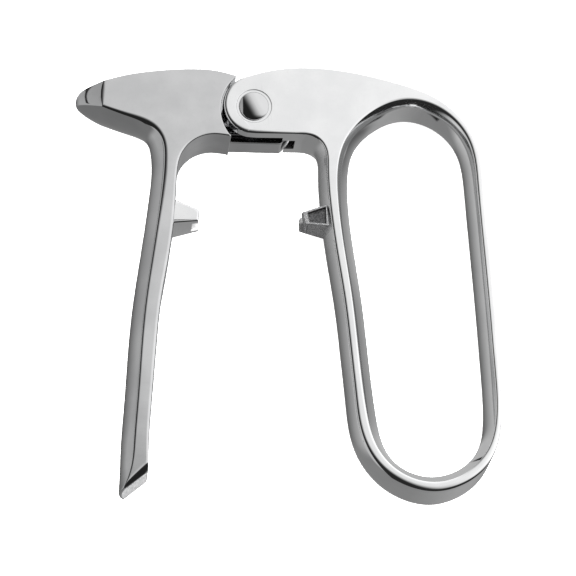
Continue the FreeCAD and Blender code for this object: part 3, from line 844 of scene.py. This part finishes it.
def make_palm_lever():
    """The left lever with its ear, tooth, bore and countersink."""
    rows = trace(palm_outline, PALM_EDGES, PALM_CORNERS)
    # The palm lever, its ear and its countersink take the darker copy of the chrome, painted shade.
    palm = crowned_solid("palm_lever_looks", rows, 0.0, DEPTH, shaded_chrome)
    roll_off_toe(palm)
    combine(palm, crowned_solid("ear", rear_ear_rows(), 0.0, REAR_EAR, shaded_chrome), "UNION")
    lower = [(-26.0, -30.7), (-24.0, -31.3), (PALM_TIP + 0.3, -34.2), (PALM_TIP + 0.3, -38.9),
             (-24.2, -41.1), (-26.2, -41.7)]
    upper = [(-26.0, -30.9), (-24.0, -31.5), (PALM_TIP + 0.1, -34.5), (PALM_TIP - 0.2, -38.3),
             (-24.2, -38.9), (-26.2, -39.1)]
    # The tooth takes the lighter lever chrome, not the palm's darker copy: a painted highlight on its
    # top face.
    combine(palm, tapered_block("tooth", lower, upper, chrome, 0.5, 0.65), "UNION")
    # The notch's walls take the painted reflection.
    combine(palm, tooth_valley("valley", PALM_TIP, -1, painted_glint_cut), "DIFFERENCE")
    combine(palm, bore("bore", SHANK + RUNNING_GAP, -OVERCUT, DEPTH, rough_cast_and_shade), "DIFFERENCE")
    rim = TAIL_RADIUS + RUNNING_GAP
    sink = [(0, -OVERCUT), (rim + 2 * SINK_BEVEL, -OVERCUT), (rim + SINK_BEVEL, 0), (rim, TAIL_DISH),
            (SHANK + RUNNING_GAP, TAIL_DEEP), (0, TAIL_DEEP)]
    combine(palm, turned_solid("sink", sink, shaded_chrome), "DIFFERENCE")
    dull_toe(palm, sanded_end)
    finish_shading(palm, SHARP_CASTING)
    return palm


palm = make_palm_lever()


# ---------------------------------------------------------------- the loop lever

def open_up_hinge(loop):
    """Cut the recess for the palm lever's ear, the spring's cavity and seat, and add the lug."""
    # The hinge's cut faces take the dark casting: unpolished, and painted shade.
    recess = bore("recess", REAR_RECESS, -OVERCUT, REAR_EAR + LAYER_GAP, rough_cast_and_shade)
    combine(loop, recess, "DIFFERENCE")
    beyond = -CAVITY_REACH
    cavity = [(beyond, beyond), (CAVITY_WALL, beyond), (CAVITY_WALL, CAVITY_SHOULDER),
              (CAVITY_SLOPE, CAVITY_ROOF), (beyond, CAVITY_ROOF)]
    cutter = block("cavity", cavity, -2 * OVERCUT, DEPTH - FRONT_EAR, rough_cast_and_shade, 0.4, 0.3)
    combine(loop, cutter, "DIFFERENCE")
    near = CAVITY_WALL - OVERCUT
    roof = -SEAT_ROOF + LAYER_GAP
    seat = [(near, beyond), (SEAT_END, beyond), (SEAT_END, roof), (near, roof)]
    combine(loop, block("seat", seat, SEAT_LOW, SEAT_HIGH, rough_cast_and_shade), "DIFFERENCE")
    lug = [polar(LUG_FLOOR, LUG_START), polar(LUG_FLOOR, LUG_END), polar(LUG_CREST, LUG_END),
           polar(LUG_CREST, LUG_START)]
    root = REAR_EAR + LAYER_GAP + LUG_ROOT
    combine(loop, block("lug", lug, LUG_LOW, root, rough_cast_and_shade), "UNION")


def add_loop_tooth(loop):
    """The loop lever's tooth, the notch across its tip and the hollow in its upper face."""
    lower = [(25.8, -30.5), (23.6, -31.1), (LOOP_TIP - 0.4, -34.1), (LOOP_TIP - 0.4, -38.1),
             (22.2, -40.2), (26.2, -41.3)]
    upper = [(25.8, -30.9), (23.6, -31.5), (LOOP_TIP, -34.5), (LOOP_TIP + 0.9, -38.5),
             (23.8, -38.95), (26.2, -39.05)]
    # The tooth and its notch take the darker plating, painted shade.
    combine(loop, tapered_block("tooth", lower, upper, painted_shade_plate, 0.35, 0.35), "UNION")
    combine(loop, tooth_valley("valley", LOOP_TIP, 1, painted_shade_plate), "DIFFERENCE")
    hollow = [(23.0, -31.75 - TOOTH_WALL), (16.4 + TOOTH_WALL, -33.95 - TOOTH_WALL),
              (17.0 + TOOTH_WALL, -38.55 + TOOTH_WALL), (23.2, -38.9 + TOOTH_WALL)]
    # The hollow's faces take the near-black painted shade.
    cutter = block("hollow", hollow, TOOTH_TOP - HOLLOW_DEEP, TOOTH_TOP + 2 * OVERCUT, hollow_painted_shade,
                   0.15, 0.1)
    combine(loop, cutter, "DIFFERENCE")


def make_loop_lever():
    """The right lever with its finger loop, hinge, tooth, bore and the ring round the rivet."""
    rows = trace(loop_outline, LOOP_EDGES, LOOP_CORNERS)
    hole_rows = trace_round(hole_outline, HOLE_EDGE)
    loop = crowned_solid("loop_lever_looks", rows, 0.0, DEPTH, chrome, hole_rows)
    open_up_hinge(loop)
    add_loop_tooth(loop)
    shaft = bore("bore", SHANK + FIXED_GAP, -OVERCUT, DEPTH + OVERCUT, rough_cast_and_shade)
    combine(loop, shaft, "DIFFERENCE")
    floor = DEPTH - COUNTERBORE_DEEP
    above = DEPTH + OVERCUT / 2
    bevel = bend_profile((COUNTERBORE + RING_BEVEL, DEPTH - RING_BEVEL), RING_BEVEL, 180, 90)
    ring = [(0, floor), (COUNTERBORE, floor)] + bevel + [(COUNTERBORE + RING_REACH, above), (0, above)]
    combine(loop, turned_solid("ring", ring, chrome), "DIFFERENCE")
    finish_shading(loop, SHARP_CASTING)
    return loop


loop = make_loop_lever()


# ---------------------------------------------------------------- the rivet and the spring

def rivet_profile():
    """Flush tail with a dished face, plain shank, and a domed head with a rounded rim."""
    floor = DEPTH - COUNTERBORE_DEEP
    shoulder = floor + DOME_RIM
    rise = DOME_RISE - DOME_RIM
    sphere = (DOME_RADIUS ** 2 + rise ** 2) / (2 * rise)
    centre = floor + DOME_RISE - sphere
    widest = math.asin(DOME_RADIUS / sphere)
    dome = [(sphere * math.sin(a), centre + sphere * math.cos(a))
            for a in np.linspace(DOME_REACH * widest, 0.0, DOME_STEPS)]
    edge = [(DOME_RADIUS, floor + 0.05), (DOME_RADIUS, shoulder - 0.1),
            (DOME_RADIUS - 0.04, shoulder + 0.02), (DOME_RADIUS - 0.12, shoulder + 0.039)]
    tail = [(0.0, TAIL_DISH), (1.6, 0.1), (TAIL_RADIUS - 0.5, 0.0), (TAIL_RADIUS - 0.1, 0.0),
            (TAIL_RADIUS, 0.06)]
    shank = [(SHANK, TAIL_DEEP), (SHANK, floor), (DOME_RADIUS - 0.05, floor)]
    return tail + shank + edge + dome


rivet = turned_solid("pivot_rivet_looks", rivet_profile(), head_chrome)
finish_shading(rivet, SHARP_RIVET)


def spring_line():
    """The wire's centre line: right leg, coil and left leg, as points in millimetres."""
    climb = COIL_PITCH / (2 * math.pi * COIL_RADIUS)
    rise = COIL_TURNS * COIL_PITCH
    right = [(x, -COIL_RADIUS, COIL_START - x * climb)
             for x in np.linspace(LEG_REACH, LEG_START, LEG_STEPS)]
    coil = [(-COIL_RADIUS * math.sin(a), -COIL_RADIUS * math.cos(a),
             COIL_START + COIL_PITCH * a / (2 * math.pi))
            for a in np.linspace(0.0, 2 * math.pi * COIL_TURNS, COIL_STEPS)]
    left = [(-x, -COIL_RADIUS, COIL_START + rise + x * climb)
            for x in np.linspace(LEG_START, LEFT_REACH, LEG_STEPS)]
    return np.array(right + coil + left)


def wire_piece(name, line, radius, material):
    """A round wire along a line, with eased ends."""
    along = np.gradient(line, axis=0)
    along /= np.linalg.norm(along, axis=1)[:, None]
    up = np.array([0.0, 0.0, 1.0])
    angles = np.linspace(0.0, 2 * math.pi, WIRE_STEPS, endpoint=False)
    last_point = len(line) - 1
    stations = [(0, -WIRE_EASE, WIRE_TIP)]
    stations += [(i, 0.0, 1.0) for i in range(len(line))]
    stations += [(last_point, WIRE_EASE, WIRE_TIP)]
    rings = []
    for i, forward, size in stations:
        aside = np.cross(along[i], up)
        aside /= np.linalg.norm(aside)
        over = np.cross(aside, along[i])
        centre = line[i] + along[i] * forward
        rings.append([centre + radius * size * (aside * math.cos(a) + over * math.sin(a))
                      for a in angles])
    bm = bmesh.new()
    first, last = add_rings(bm, rings)
    cap(bm, [first])
    cap(bm, [last])
    bmesh.ops.recalc_face_normals(bm, faces=bm.faces)
    return new_piece(name, bm, material)


spring = wire_piece("torsion_spring_looks", spring_line(), WIRE / 2, wire_steel)
finish_shading(spring, SHARP_WIRE)

for piece, body, node, slot in ((palm, "palm_body", "palm_lever", "polished_lever"),
                                (loop, "loop_body", "loop_lever", "polished_lever"),
                                (rivet, "loop_body", "pivot_rivet", "rivet_steel"),
                                (spring, "loop_body", "torsion_spring", "spring_steel")):
    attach(piece, body)
    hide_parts(node)


# ---------------------------------------------------------------- floor, light and camera

FLOOR_REACH = 6.0
FLOOR_DROP = 0.2
FLOOR_GLOW = 0.8
LAMP_STRENGTH = 9.0
LAMP_SPREAD = 50.0


def pale_floor():
    """A wide plain light table just under the tool, hidden from reflections."""
    bm = bmesh.new()
    corners = [(-FLOOR_REACH, -FLOOR_REACH), (FLOOR_REACH, -FLOOR_REACH),
               (FLOOR_REACH, FLOOR_REACH), (-FLOOR_REACH, FLOOR_REACH)]
    bm.faces.new([bm.verts.new((x, y, -FLOOR_DROP * MM)) for x, y in corners])
    material = bpy.data.materials.new("pale_floor")
    material.use_nodes = True
    tree = material.node_tree
    where = tree.nodes.new("ShaderNodeTexCoord").outputs["Object"]
    tone = tinted(tree, noise(tree, where, 40.0, 3.0), (0.93, 0.93, 0.93), (0.96, 0.96, 0.96))
    shader = tree.nodes["Principled BSDF"]
    shader.inputs["Roughness"].default_value = 0.9
    links_into(tree, shader, "Base Color", tone)
    shader.inputs["Emission Color"].default_value = (1.0, 1.0, 1.0, 1.0)
    shader.inputs["Emission Strength"].default_value = FLOOR_GLOW
    floor = new_piece("floor", bm, material)
    floor.visible_glossy = False


def overhead_light():
    """A broad soft light straight above, which polished metal doesn't show as a highlight."""
    light = bpy.data.lights.new("overhead", "SUN")
    light.energy = LAMP_STRENGTH
    light.angle = math.radians(LAMP_SPREAD)
    lamp = bpy.data.objects.new("overhead", light)
    lamp.visible_glossy = False
    bpy.context.scene.collection.objects.link(lamp)


pale_floor()
overhead_light()

CAMERA_PLACE = Vector((-0.070456, -0.399450, 1.067615))
CAMERA_RIGHT = Vector((0.99701, 0.0, 0.07721))
CAMERA_UP = Vector((-0.02367, 0.95186, 0.30562))
LENS = 221.25
SENSOR = 36.0

# The studio is laid out on a ball: the direction a polished ball on the table would reflect
# towards the lens from each point of its face. across and up run from -1 to 1 over the ball's
# face and out is the distance from its middle. A pair of places is where a change starts and
# ends; tones are brightness.
ROOM_TONE = 0.50

# The room below the soft box gets darker towards the ball's rim.
LOWER_EDGE = (0.42, 0.18)
LOWER_FADE = (0.80, 0.98)
LOWER_TONES = (0.55, 0.14)

# The near end of the room, at the ball's foot, is lighter to the right.
FOOT_EDGE = (-0.25, -0.5)
FOOT_FADE = (-0.2, 0.45)
FOOT_TONES = (0.24, 0.36)

# The room's right side, with its own tones below and above the middle.
RIGHT_EDGE = (0.55, 0.75)
RIGHT_FOOT = (-0.75, -0.5)
RIGHT_HEIGHT = (0.0, 0.4)
RIGHT_FADE = (0.85, 1.0)
RIGHT_LOW_TONES = (0.12, 0.34)
RIGHT_HIGH_TONES = (0.30, 0.6)
RIM_EDGE = (0.985, 1.0)
RIM_TONE = 0.3

# The big soft box: its brightness along a slanted fade, as place and tone; the dark panel
# that it fades into at its lower left; and its outline.
SOFT_BOX = [(-0.15, 0.022), (-0.07, 0.07), (0.0, 0.20), (0.06, 0.37), (0.18, 0.73),
            (0.30, 1.03), (0.55, 1.22)]
SOFT_BOX_SLANT = 0.57
PANEL_EDGE = (-0.32, -0.13)
PANEL_TONE = 0.022
BOX_REACH = (0.80, 0.85)
BOX_REACH_CHANGE = (-0.35, 0.0)
BOX_LEFT = (-0.465, -0.43)
BOX_FOOT = (-0.635, -0.585)
BOX_FOOT_SLANT = 0.03
BOX_RIM = (0.02, -0.02)

# A narrow dark stand to the left of the soft box.
STAND_ACROSS = 0.612
STAND_EDGE = (0.028, 0.012)
STAND_FOOT = (0.0, 0.12)
STAND_HEAD = (0.8, 0.7)
STAND_TONE = 0.02


def vector_maths(tree, operation, first, second=None, output="Vector"):
    """A Vector Math node on sockets or plain vectors."""
    node = tree.nodes.new("ShaderNodeVectorMath")
    node.operation = operation
    for place, value in enumerate((first, second)):
        if isinstance(value, Vector):
            node.inputs[place].default_value = value
        elif value is not None:
            tree.links.new(value, node.inputs[place])
    return node.outputs[output]


def mixed(tree, share, first, second):
    """From the first tone to the second by the share."""
    node = tree.nodes.new("ShaderNodeMix")
    node.data_type = "FLOAT"
    tree.links.new(share, node.inputs[0])
    for place, value in ((2, first), (3, second)):
        if isinstance(value, (int, float)):
            node.inputs[place].default_value = value
        else:
            tree.links.new(value, node.inputs[place])
    return node.outputs[0]


def soft_step(tree, source, low, high):
    """0 at low and beyond, 1 at high and beyond, and smooth between, whichever is the larger."""
    if high > low:
        return ranged(tree, source, low, high, 0.0, 1.0)
    return ranged(tree, source, high, low, 1.0, 0.0)


def room_tone(tree, across, up, out):
    """Brightness of the room behind the soft box."""
    below = ranged_linear(tree, out, *LOWER_FADE, *LOWER_TONES)
    tone = mixed(tree, soft_step(tree, up, *LOWER_EDGE), ROOM_TONE, below)
    foot = ranged_linear(tree, across, *FOOT_FADE, *FOOT_TONES)
    tone = mixed(tree, soft_step(tree, up, *FOOT_EDGE), tone, foot)
    right_side = product(tree, soft_step(tree, across, *RIGHT_EDGE), soft_step(tree, up, *RIGHT_FOOT))
    right_tone = mixed(tree, soft_step(tree, up, *RIGHT_HEIGHT),
                       ranged_linear(tree, out, *RIGHT_FADE, *RIGHT_LOW_TONES),
                       ranged_linear(tree, out, *RIGHT_FADE, *RIGHT_HIGH_TONES))
    tone = mixed(tree, right_side, tone, right_tone)
    return mixed(tree, soft_step(tree, out, *RIM_EDGE), tone, RIM_TONE)


def soft_box_tone(tree, across, up):
    """Brightness of the soft box, and of the dark panel under it."""
    slanted = maths(tree, "ADD", across, product(tree, up, SOFT_BOX_SLANT))
    ramp = tree.nodes.new("ShaderNodeValToRGB")
    first, last = SOFT_BOX[0][0], SOFT_BOX[-1][0]
    stops = ramp.color_ramp.elements
    while len(stops) < len(SOFT_BOX):
        stops.new(0.5)
    for stop, (place, value) in zip(stops, SOFT_BOX):
        stop.position = (place - first) / (last - first)
        stop.color = (value, value, value, 1.0)
    tree.links.new(ranged_linear(tree, slanted, first, last, 0.0, 1.0), ramp.inputs["Fac"])
    return mixed(tree, soft_step(tree, up, *PANEL_EDGE), PANEL_TONE, ramp.outputs["Color"])


def studio_tone(tree):
    """Brightness of the studio in every direction."""
    right = CAMERA_RIGHT.normalized()
    axis = right.cross(CAMERA_UP).normalized()
    direction = tree.nodes.new("ShaderNodeTexCoord").outputs["Generated"]
    facing = vector_maths(tree, "NORMALIZE", vector_maths(tree, "ADD", direction, axis))
    across = vector_maths(tree, "DOT_PRODUCT", facing, right, "Value")
    up = vector_maths(tree, "DOT_PRODUCT", facing, axis.cross(right), "Value")
    out = maths(tree, "SQRT", added(tree, product(tree, across, across), product(tree, up, up)))

    reach = mixed(tree, soft_step(tree, up, *BOX_REACH_CHANGE), *BOX_REACH)
    beyond = maths(tree, "SUBTRACT", out, reach)
    bottom = maths(tree, "SUBTRACT", up, product(tree, across, BOX_FOOT_SLANT))
    inside = product(tree, soft_step(tree, across, *BOX_LEFT), soft_step(tree, bottom, *BOX_FOOT),
                     soft_step(tree, beyond, *BOX_RIM))
    tone = mixed(tree, inside, room_tone(tree, across, up, out), soft_box_tone(tree, across, up))

    gap = maths(tree, "ABSOLUTE", added(tree, across, STAND_ACROSS))
    stand = product(tree, soft_step(tree, gap, *STAND_EDGE), soft_step(tree, up, *STAND_FOOT),
                    soft_step(tree, up, *STAND_HEAD))
    return mixed(tree, stand, tone, STAND_TONE)


def world_light():
    """The studio all round, and plain white where the camera looks past the floor."""
    world = bpy.data.worlds.new("studio")
    bpy.context.scene.world = world
    world.use_nodes = True
    tree = world.node_tree
    studio = tree.nodes["Background"]
    tree.links.new(studio_tone(tree), studio.inputs["Color"])
    plain = tree.nodes.new("ShaderNodeBackground")
    plain.inputs["Color"].default_value = (1.0, 1.0, 1.0, 1.0)
    pick = tree.nodes.new("ShaderNodeMixShader")
    tree.links.new(tree.nodes.new("ShaderNodeLightPath").outputs["Is Camera Ray"], pick.inputs[0])
    tree.links.new(studio.outputs[0], pick.inputs[1])
    tree.links.new(plain.outputs[0], pick.inputs[2])
    tree.links.new(pick.outputs[0], tree.nodes["World Output"].inputs["Surface"])


world_light()


def add_camera():
    """A long lens a little over a metre away, looking down and slightly from the handles' end."""
    lens = bpy.data.cameras.new("camera")
    lens.sensor_width = SENSOR
    lens.lens = LENS
    lens.clip_start = 0.05
    lens.clip_end = 50.0
    camera = bpy.data.objects.new("camera", lens)
    right = CAMERA_RIGHT.normalized()
    back = right.cross(CAMERA_UP).normalized()
    up = back.cross(right)
    turned = Matrix((right, up, back)).transposed().to_4x4()
    camera.matrix_world = Matrix.Translation(CAMERA_PLACE) @ turned
    bpy.context.scene.collection.objects.link(camera)
    bpy.context.scene.camera = camera


add_camera()
bpy.context.scene.view_settings.view_transform = "Standard"
